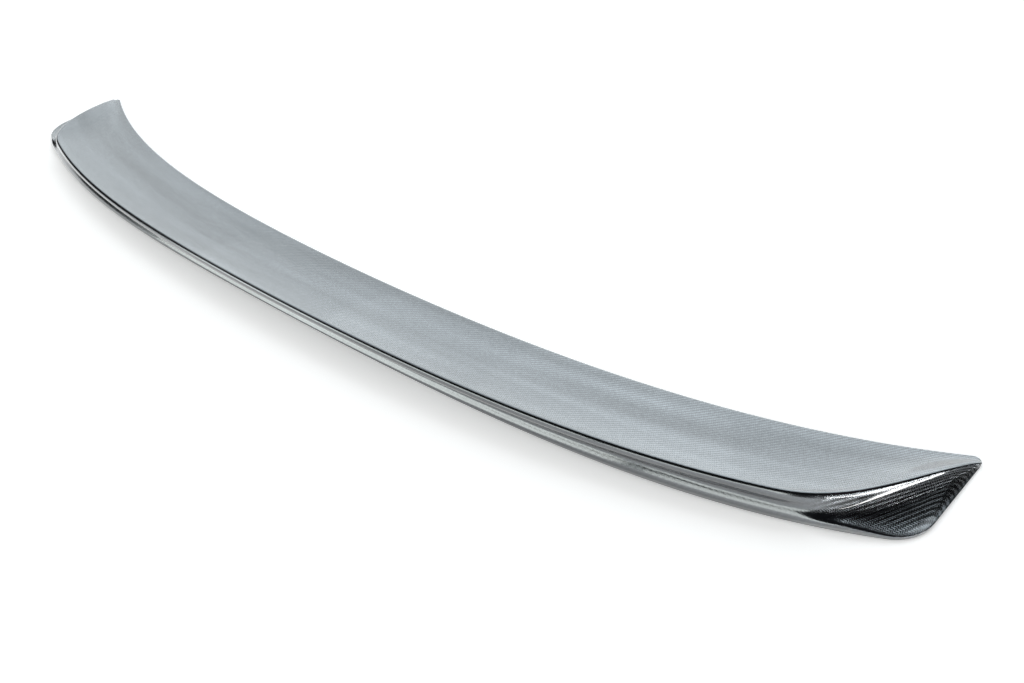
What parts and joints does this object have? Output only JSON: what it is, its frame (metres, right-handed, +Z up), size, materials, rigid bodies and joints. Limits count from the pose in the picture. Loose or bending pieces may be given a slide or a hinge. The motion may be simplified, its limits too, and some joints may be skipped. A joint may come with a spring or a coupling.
{
  "type": "car rear spoiler",
  "caption": "Carbon-fibre boot-lid lip spoiler: a long bowed skin, open underneath, whose dished top rises to a rear lip that runs out into swept-forward, rounded ends.",
  "frame": {"origin": "middle of the box's underside, on the plane that the two ends rest on", "axes": "+X along the span to the car's right side, +Y to the front of the car, +Z up"},
  "size_m": [1.24, 0.2287, 0.0363],
  "materials": {
    "carbon": "twill carbon fibre under clear gloss"
  },
  "bodies": {
    "root": {"spoiler_skin": "carbon"}
  },
  "joints": []
}
